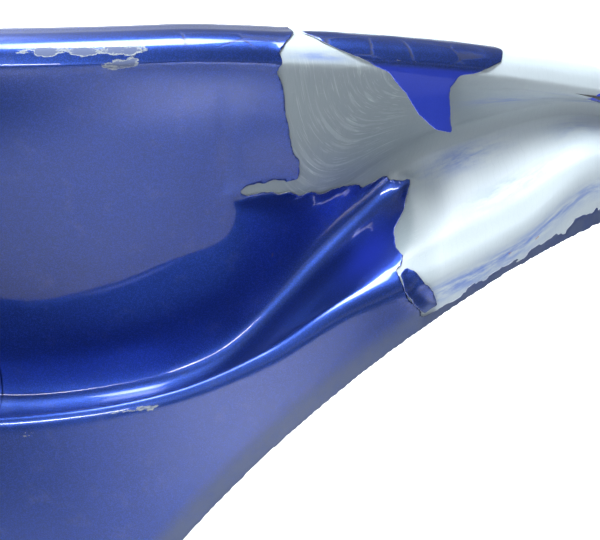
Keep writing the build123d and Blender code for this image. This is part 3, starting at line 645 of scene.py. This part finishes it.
def stripped_material():
    """Bare grey plastic with curved drag scratches, stress marks and blue haze left behind; its grey is
    painted light and shade: paler where it faces up to the light, darker on the wall.
    """
    made, tree, shader = material("stripped_plastic_with_painted_light")
    place = belt_coordinates(tree)
    tone = cloud(tree, place, 26.0, 6.0, 0.6)
    # painted light and shade: the grey turns pale where the plastic faces up to the light and stays dark on
    # the wall
    grey = blend_colour(tree, tagged(tree, "pale"), (0.175, 0.215, 0.235, 1), (0.44, 0.50, 0.53, 1))
    colour = blend_colour(tree, band(tree, tone, 0.25, 0.75, 0.0, 0.22), grey, (0.30, 0.33, 0.33, 1))
    away = node(tree, "ShaderNodeVectorMath", {0: place, 1: FAN_CENTRE}, operation="SUBTRACT")
    away = away.outputs["Vector"]
    reach = node(tree, "ShaderNodeVectorMath", {0: away}, operation="LENGTH").outputs["Value"]
    parts = node(tree, "ShaderNodeSeparateXYZ", {0: away})
    turn = sums(tree, "ARCTAN2", parts.outputs["Y"], parts.outputs["X"])
    ring = node(tree, "ShaderNodeCombineXYZ", {"X": reach, "Y": scaled(tree, turn, 0.0035)}).outputs[0]
    broad = band(tree, cloud(tree, ring, 420.0, 2.0, 0.5, 0.15), 0.56, 0.66)
    fine = band(tree, cloud(tree, ring, 1500.0, 2.0, 0.5, 0.1), 0.58, 0.66)
    wide = cloud(tree, belt_coordinates(tree, (0.14, 1, 1), 0.55), 1500.0, 3.0, 0.6, 0.25)
    arcs = node(tree, "ShaderNodeTexWave", {
        "Vector": belt_coordinates(tree, (1, 1, 1), -0.5), "Scale": 95.0, "Distortion": 9.0, "Detail": 3.0,
        "Detail Scale": 0.6, "Detail Roughness": 0.6}, wave_type="RINGS", rings_direction="Z",
        wave_profile="SAW").outputs["Fac"]
    lines = sums(tree, "ADD", scaled(tree, broad, 0.5), scaled(tree, fine, 0.6))
    lines = sums(tree, "MULTIPLY", lines, tagged(tree, "fan"))
    drag = sums(tree, "MULTIPLY", band(tree, wide, 0.62, 0.72), band(tree, tone, 0.4, 0.65))
    worn = sums(tree, "MAXIMUM", lines, scaled(tree, drag, 0.6))
    arc = band(tree, arcs, 0.93, 1.0)
    colour = blend_colour(tree, scaled(tree, worn, 0.34), colour, (0.55, 0.60, 0.62, 1))
    colour = blend_colour(tree, scaled(tree, arc, 0.16), colour, (0.15, 0.17, 0.21, 1))
    streaks = cloud(tree, belt_coordinates(tree, (0.3, 1, 1), 0.5), 190.0, 5.0, 0.65)
    haze = sums(tree, "MULTIPLY", tagged(tree, "haze"), band(tree, streaks, 0.38, 0.60))
    colour = blend_colour(tree, haze, colour, (0.115, 0.19, 0.47, 1))
    dirt = band(tree, sums(tree, "ADD", tagged(tree, "dirt"), cloud(tree, place, 160.0, 5.0)), 1.05, 1.25)
    colour = blend_colour(tree, dirt, colour, (0.11, 0.075, 0.04, 1))
    rust = band(tree, sums(tree, "ADD", tagged(tree, "rust"), cloud(tree, place, 210.0, 3.0)), 1.05, 1.2)
    colour = blend_colour(tree, rust, colour, (0.35, 0.14, 0.05, 1))
    tree.links.new(colour, shader.inputs["Base Color"])
    tree.links.new(band(tree, tone, 0.25, 0.75, 0.36, 0.52), shader.inputs["Roughness"])
    height = sums(tree, "SUBTRACT", cloud(tree, place, 900.0, 4.0), scaled(tree, worn, 0.8))
    height = sums(tree, "SUBTRACT", height, scaled(tree, arc, 0.5))
    tree.links.new(bump(tree, height, 0.3, 0.0002), shader.inputs["Normal"])
    return made


def moulded_material(name, dark, light, roughness, grain, strength=0.4, coat=0.0):
    """Injection-moulded plastic: fine leather-like grain, faint flow marks and dust."""
    made, tree, shader = material(name)
    place = object_coordinates(tree)
    tone = cloud(tree, place, 14.0, 5.0)
    dust = band(tree, cloud(tree, place, 60.0, 6.0, 0.7), 0.55, 0.85, 0.0, 0.35)
    colour = blend_colour(tree, band(tree, tone, 0.3, 0.7), dark, light)
    colour = blend_colour(tree, dust, colour, (0.16, 0.15, 0.14, 1))
    pits = node(tree, "ShaderNodeTexVoronoi", {"Vector": place, "Scale": grain}).outputs["Distance"]
    tree.links.new(colour, shader.inputs["Base Color"])
    tree.links.new(band(tree, tone, 0.2, 0.8, roughness - 0.08, roughness + 0.1), shader.inputs["Roughness"])
    tree.links.new(bump(tree, pits, strength, 0.0004), shader.inputs["Normal"])
    shader.inputs["Coat Weight"].default_value = coat
    shader.inputs["Coat Roughness"].default_value = 0.06
    return made


def metal_material(name, dark, light, roughness):
    """Plated steel with handling marks and dull spots."""
    made, tree, shader = material(name)
    place = object_coordinates(tree)
    spots = cloud(tree, place, 240.0, 5.0, 0.65)
    colour = blend_colour(tree, band(tree, spots, 0.35, 0.7), dark, light)
    tree.links.new(colour, shader.inputs["Base Color"])
    shader.inputs["Metallic"].default_value = 1.0
    tree.links.new(band(tree, spots, 0.3, 0.7, roughness, roughness + 0.22), shader.inputs["Roughness"])
    tree.links.new(bump(tree, cloud(tree, place, 900.0, 3.0), 0.25, 0.0002), shader.inputs["Normal"])
    return made


def film_edge_material():
    """Broken edge and underside of the paint film: pale primer."""
    made, tree, shader = material("film_primer")
    place = object_coordinates(tree)
    tone = cloud(tree, place, 500.0, 4.0)
    colour = blend_colour(tree, band(tree, tone, 0.3, 0.7), (0.36, 0.38, 0.42, 1), (0.62, 0.64, 0.68, 1))
    tree.links.new(colour, shader.inputs["Base Color"])
    tree.links.new(band(tree, tone, 0.3, 0.7, 0.45, 0.65), shader.inputs["Roughness"])
    tree.links.new(bump(tree, tone, 0.4, 0.0002), shader.inputs["Normal"])
    return made


PAINT = paint_material("paint_blue", False)
WORN_PAINT_WITH_PAINTED_LIGHT = paint_material("paint_blue_worn_with_painted_light", True)
STRIPPED = stripped_material()
PRIMER = film_edge_material()
INNER = moulded_material("skin_inner_side", (0.055, 0.057, 0.060, 1), (0.085, 0.087, 0.09, 1), 0.55, 900.0)
BLACK = moulded_material("black_moulding", (0.012, 0.012, 0.013, 1), (0.022, 0.022, 0.023, 1), 0.5, 1100.0)
TRIM = moulded_material("gloss_black_trim", (0.006, 0.006, 0.007, 1), (0.012, 0.012, 0.013, 1), 0.22, 500.0,
                        0.06, 1.0)
RUBBER = moulded_material("lip_rubber", (0.014, 0.014, 0.014, 1), (0.030, 0.029, 0.028, 1), 0.68, 700.0, 0.5)
ZINC = metal_material("zinc_plate", (0.34, 0.35, 0.36, 1), (0.58, 0.59, 0.6, 1), 0.28)

FINISHES = {
    "nose_retainer": BLACK, "left_lamp_support": BLACK, "right_lamp_support": BLACK,
    "left_wing_retainer": BLACK, "right_wing_retainer": BLACK, "mouth_frame": TRIM, "mouth_slats": BLACK,
    "left_duct_bezel": TRIM, "right_duct_bezel": TRIM, "left_duct_mesh": BLACK, "right_duct_mesh": BLACK,
    "tow_eye_sleeve": BLACK, "plate_holder": BLACK, "plate_screws": ZINC, "lower_lip": RUBBER,
    "lip_rivets": BLACK, "nose_clips": BLACK, "lamp_clips": BLACK, "wing_screws": ZINC,
    "arch_liner_clips": BLACK, "tow_eye_cover": PAINT,
}
for name, finish in FINISHES.items():
    NODES[name].data.materials.clear()
    NODES[name].data.materials.append(finish)


# ------------------------------------------------------------------ skin away from the corner
OUTER_REACH, OUTER_FACING = 0.012, 0.55  # a face this near (m) the outer side, facing its way, is painted


def outer_side():
    """Search tree over the undamaged outer side, both halves, in metres."""
    runs = np.concatenate([np.arange(0, 880, 6.0), np.arange(880, ARM_RUN, 4.0), [ARM_RUN]])
    rows = np.linspace(0.2, ROWS - 1, 150)
    half = metres(skin_points(runs, rows))
    points, faces = [], []
    for side in (1, -1):
        part = half * (side, 1, 1)
        faces += grid_faces(*part.shape[:2], start=len(points), flip=side < 0)
        points += part.reshape(-1, 3).tolist()
    return BVHTree.FromPolygons(points, faces)


def packed_remainder():
    """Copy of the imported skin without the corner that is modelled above, painted outside only."""
    mesh = NODES["bumper_cover"].data.copy()
    mesh.name = "painted_skin"
    work = bmesh.new()
    work.from_mesh(mesh)
    x, y, nx, ny = belt(np.array([SEAM_RUN]))
    at = Vector(metres([[x[0], y[0], 300.0]])[0])
    along_belt = Vector((-ny[0], nx[0], 0))
    bmesh.ops.remove_doubles(work, verts=work.verts, dist=1e-6)
    bmesh.ops.bisect_plane(work, geom=work.verts[:] + work.edges[:] + work.faces[:], plane_co=at,
                           plane_no=along_belt, clear_outer=True)
    work.to_mesh(mesh)
    work.free()
    mesh.materials.clear()
    mesh.materials.append(PAINT)
    mesh.materials.append(INNER)
    outer = outer_side()
    for face in mesh.polygons:
        _, normal, _, gap = outer.find_nearest(face.center)
        face.material_index = 0 if gap < OUTER_REACH and normal.dot(face.normal) > OUTER_FACING else 1
    piece = bpy.data.objects.new("painted_skin", mesh)
    bpy.context.scene.collection.objects.link(piece)
    return piece


def field_tags(places, gaps):
    """Wear masks and masks of painted light and shade at chart places (mm); gaps are distances from the
    wheel-arch edge.
    """
    run, down = places[:, 0], places[:, 1]
    row = np.interp(down, ROW_MM, np.arange(ROWS))

    def spot(at, on_row, wide, tall, strength=1.0):
        mid = np.interp(on_row, np.arange(ROWS), ROW_MM)
        return strength * np.exp(-(((run - at) / wide) ** 2 + ((down - mid) / tall) ** 2))

    def stretch(start, end, low, high, soft_run=8.0, soft_row=0.5):
        return (ramp(run, start - soft_run, start + soft_run) * ramp(-run, -end - soft_run, -end + soft_run)
                * ramp(row, low - soft_row, low + soft_row) * ramp(-row, -high - soft_row, -high + soft_row))

    scuff = 0.5 * stretch(868, 935, 3.7, 4.6, 6, 0.3) + spot(884, 4.4, 5, 4, 0.35) + spot(901, 4.6, 6, 3, 0.3)
    scuff += spot(915, 6.2, 11, 5, 0.52) + spot(925, 5.4, 8, 4, 0.35) + spot(858, 4.3, 6, 3, 0.4)
    scuff += spot(905, 22.7, 15, 3, 0.5) + spot(921, 23.1, 8, 3, 0.45) + spot(855, 23.6, 14, 4, 0.48)
    scuff += spot(975, 3.6, 30, 2.5, 0.35)
    dirt = spot(1030, 12.6, 1.5, 0.9, 0.55) + spot(988, 11.4, 2, 2, 0.6) + spot(994, 12.1, 2, 2, 0.6)
    dirt += spot(1002, 19.9, 4, 3, 0.6) + spot(905, 22.2, 16, 3, 0.35) + spot(1000, 22, 40, 12, 0.2)
    haze = spot(1122, 9.6, 26, 9, 0.62) + spot(1150, 7.5, 20, 5, 0.35) + spot(1172, 11, 20, 12, 0.45)
    haze += spot(1100, 16.3, 22, 7, 0.75) + spot(1122, 19, 24, 6, 0.55) + spot(1140, 24.1, 60, 6, 0.8)
    haze += spot(1012, 4.7, 14, 2, 0.7) + spot(1085, 24.2, 40, 6, 0.8) + spot(1165, 17, 14, 10, 0.35)
    rust = spot(1115, 24.15, 3.2, 3.2, 0.7) + spot(1131, 24.2, 2.6, 2.6, 0.65)
    # painted reflection: brighter blue on the pocket's right side and on the hanging flake
    painted_reflection = spot(1041, 18.4, 15, 15, 0.8)
    painted_reflection += 0.75 * ramp(row, 5.0, 5.8) * ramp(-row, -10.5, -10.0) * ramp(run, 1030, 1036)
    # painted light and shade: paler on the crest, the ramp and near the lip, where the bare plastic faces up
    # to the light, darker on the wall between
    pale = 0.08 + 0.62 * ramp(-row, -7.5, -4.2) + 0.72 * ramp(run, 1070, 1150) * ramp(-row, -14.5, -12.5)
    pale += 0.95 * ramp(row, 13.2, 15.8) * ramp(run, 1062, 1090) + 0.5 * ramp(row, 19, 21)
    fan = stretch(1000, 1062, 4.5, 12.5, 6, 1.0) * 0.9 + 0.12
    cracked = 0.75 * stretch(1008, 1100, 2.2, 4.6, 6, 0.4) + 0.55 * stretch(938, 1000, 2.2, 4.0, 8, 0.4)
    crease = stretch(1042, 1070, 4.4, 4.9, 5, 0.25) + 0.8 * stretch(1080, 1104, 4.9, 5.4, 5, 0.25)
    # edge: painted shade along the wheel-arch edge
    return {"scuff": scuff, "dirt": dirt, "haze": haze, "rust": rust, "pale": np.clip(pale, 0, 1), "fan": fan,
            "cracked": cracked, "painted_reflection": painted_reflection, "crease": 0.62 * crease, "edge": ramp(-gaps, -15, -5)}


def build_corner():
    """The plastic shell and the sheets of paint on it."""
    points, faces, outer, outward = bare_shell()
    turned = outer.shape[0] - len(CHART)
    places = np.concatenate([CHART, np.repeat(CHART[-1:], turned, 0)])
    places[len(CHART):, :, 1] += np.array(FLANGE_STEPS)[:, None]
    gaps = np.hypot(outer[..., 1] - ARCH_Y, outer[..., 2] - ARCH_Z) - ARCH_RADIUS
    count = outer.shape[0] * outer.shape[1]
    spread = np.zeros((len(points), 2))
    spread[:count] = places.reshape(-1, 2)
    apart = np.full(len(points), 99.0)
    apart[:count] = gaps.ravel()
    shell = mesh_from("stripped_corner", points, faces, field_tags(spread, apart), spread)
    shell.data.materials.append(STRIPPED)
    shell.data.materials.append(INNER)
    for polygon in shell.data.polygons:
        polygon.material_index = 0 if min(polygon.vertices) < count else 1
    run, down = places[..., 0], places[..., 1]
    ragged = rough(run, down, 7.0, 21) * 1.5 + rough(run, down, 2.6, 31, 2) * 0.7
    low_edge = ramp(run, 1075, 1090) * ramp(down, ROW_MM[22], ROW_MM[24])
    left = -signed(places, BARE) + ragged * (1 + 1.6 * low_edge)
    lift = 0.25 + np.exp(-np.clip(left, 0, None) / 3.0) * (0.35 + 0.45 * (rough(run, down, 11.0, 41) + 0.6))
    lift *= 0.2 + 0.8 * ramp(run, SEAM_RUN - 1, SEAM_RUN + 25)
    tab_values = signed(places, TAB) + ragged * 0.5
    tab_lift = 0.5 + 1.6 * np.exp(-np.clip(tab_values, 0, None) / 3.5)
    sheets = (("paint_film", left, lift, 0.2), ("paint_tab", tab_values, tab_lift, 0.25),
              ("paint_island", signed(places, ISLAND) + ragged * 1.2, np.full_like(lift, 0.3), 0.2))
    pieces = [shell]
    for name, values, height, thick in sheets:
        pieces.append(film_sheet(name, values, outer + outward * height[..., None], places, gaps, thick))
    flake_values = signed(places, FLAKE) + ragged * 0.35
    flake_points = hanging(outer, outward, places)
    pieces.append(film_sheet("lifted_paint_flake", flake_values, flake_points, places, gaps, 0.3))
    return pieces


def film_sheet(name, values, points, places, gaps, thick):
    """Sheet of paint, thick mm, over the part of the grid where values are positive."""
    cut, faces, sources = cut_sheet(values, points)
    spread = carried(places, sources)
    piece = mesh_from(name, cut, faces, field_tags(spread, carried(gaps[..., None], sources)[:, 0]), spread)
    piece.data.materials.append(WORN_PAINT_WITH_PAINTED_LIGHT)
    piece.data.materials.append(PRIMER)
    thicken = piece.modifiers.new("film thickness", "SOLIDIFY")
    thicken.thickness = thick / 1000
    thicken.offset = -1
    thicken.material_offset = 1
    thicken.material_offset_rim = 1
    return piece


FLAKE_FLARE = 0.007  # mm that the flake stands off for each squared mm it hangs down


def hanging(outer, outward, places):
    """Places of the flake: close over the crest, then hanging straight down from its crease."""
    run, down = places[..., 0], places[..., 1]
    fold = float(np.interp(CREASE_ROW, np.arange(ROWS), ROW_MM))
    fold_row = int(np.argmin(np.abs(down[:, 0] - fold)))
    steps = np.linalg.norm(np.diff(outer, axis=0), axis=-1)
    arc = np.concatenate([np.zeros((1, outer.shape[1])), np.cumsum(steps, axis=0)])
    below = np.clip(arc - arc[fold_row], 0, None)
    lift = 0.8 + 0.5 * np.exp(-((down - fold) / 1.5) ** 2) + rough(run, down, 12, 51, 2) * 0.25
    close = outer + outward * lift[..., None]
    level = outward[fold_row] * np.array([1, 1, 0])
    level /= np.linalg.norm(level, axis=1, keepdims=True)
    flare = 1.0 + FLAKE_FLARE * below**2 + rough(run, down, 22, 61, 2) * 0.03 * below
    free = outer[fold_row][None] + level[None] * flare[..., None]
    free = free - np.array([0, 0, 1.0]) * below[..., None]
    share = ramp(below, 0.0, 3.0)[..., None]
    return close * (1 - share) + free * share


for piece in build_corner() + [packed_remainder()]:
    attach(piece, "cover")
    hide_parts("bumper_cover")


# ------------------------------------------------------------------ studio and camera
FLOOR_REACH = 14  # metres from the middle to each side of the floor


def studio():
    """Pale floor under the part."""
    mesh = bpy.data.meshes.new("floor")
    reach = FLOOR_REACH
    mesh.from_pydata([(-reach, -reach, 0), (reach, -reach, 0), (reach, reach, 0), (-reach, reach, 0)], [],
                     [(0, 1, 2, 3)])
    floor = bpy.data.objects.new("floor", mesh)
    bpy.context.scene.collection.objects.link(floor)
    made, _, shader = material("pale_floor")
    shader.inputs["Base Color"].default_value = (0.5, 0.5, 0.5, 1)
    shader.inputs["Roughness"].default_value = 0.9
    mesh.materials.append(made)


def soft_light(name, at, aim, wide, tall, power, beam, colour=(1, 1, 1)):
    """Rectangular light; sizes and places in metres, power in watts, beam in degrees."""
    data = bpy.data.lights.new(name, "AREA")
    data.shape = "RECTANGLE"
    data.size, data.size_y, data.energy, data.color = wide, tall, power, colour
    data.spread = radians(beam)
    lamp = bpy.data.objects.new(name, data)
    bpy.context.scene.collection.objects.link(lamp)
    lamp.location = at
    lamp.rotation_euler = (Vector(aim) - Vector(at)).to_track_quat("-Z", "Y").to_euler()


def sky():
    """Soft surroundings: pale at the horizon, dim a little above it, brighter overhead."""
    world = bpy.data.worlds.new("studio")
    bpy.context.scene.world = world
    world.use_nodes = True
    tree = world.node_tree
    place = node(tree, "ShaderNodeTexCoord")
    split = node(tree, "ShaderNodeSeparateXYZ", {0: place.outputs["Generated"]})
    colours = node(tree, "ShaderNodeValToRGB", {0: split.outputs["Z"]})
    stops = colours.color_ramp.elements
    stops[0].position, stops[0].color = 0.0, (0.60, 0.65, 0.74, 1)
    stops[1].position, stops[1].color = 1.0, (0.32, 0.35, 0.42, 1)
    low = stops.new(0.28)
    low.color = (0.13, 0.145, 0.18, 1)
    background = tree.nodes["Background"]
    tree.links.new(colours.outputs[0], background.inputs[0])
    background.inputs[1].default_value = 1.0


CAMERA_AZIMUTH, CAMERA_PITCH, CAMERA_ROLL = 62.4, 21.4, -1.5
CAMERA_DISTANCE, CAMERA_LENS_SHARE = 0.534, 1.8  # lens length as a share of sensor width
CAMERA_RUN, CAMERA_HEIGHT = 998.5, 528.3


def camera():
    """View of the damaged corner, aimed at a place on the belt."""
    data = bpy.data.cameras.new("view")
    data.sensor_width = 36.0
    data.lens = 36.0 * CAMERA_LENS_SHARE
    data.clip_start = 0.02
    view = bpy.data.objects.new("view", data)
    bpy.context.scene.collection.objects.link(view)
    x, y, _, _ = belt(np.array([CAMERA_RUN]))
    target = Vector(metres([[x[0], y[0], CAMERA_HEIGHT]])[0])
    azimuth, pitch, roll = radians(CAMERA_AZIMUTH), radians(CAMERA_PITCH), radians(CAMERA_ROLL)
    back = Vector((sin(azimuth) * cos(pitch), -cos(azimuth) * cos(pitch), sin(pitch)))
    right = (-back).cross(Vector((0, 0, 1))).normalized()
    up = right.cross(-back)
    right, up = right * cos(roll) + up * sin(roll), up * cos(roll) - right * sin(roll)
    view.matrix_world = Matrix.Translation(target + back * CAMERA_DISTANCE) @ Matrix(
        (right, up, back)).transposed().to_4x4()
    bpy.context.scene.camera = view


studio()
soft_light("overhead", (0.95, -0.25, 1.9), (0.66, 0.02, 0.5), 1.0, 1.0, 9.5, 52, (0.93, 0.97, 1.0))
soft_light("side_window", (-0.86, -0.52, 1.73), (0.68, -0.08, 0.53), 0.8, 0.5, 9, 40, (0.90, 0.95, 1.0))
soft_light("floor_wash", (-1.0, 1.3, 1.9), (-1.0, 1.3, 0), 2.0, 2.0, 80, 66)
soft_light("far_wash", (-3.8, 2.8, 3.2), (-3.8, 2.8, 0), 4.5, 4.5, 560, 80)
soft_light("floor_pool", (1.75, -0.2, 1.3), (1.75, -0.2, 0), 0.5, 0.7, 8, 45)
soft_light("low_strip", (2.3, -2.2, 0.95), (0.72, -0.1, 0.5), 1.3, 0.22, 4, 60)
sky()
camera()
bpy.context.scene.view_settings.view_transform = "Standard"
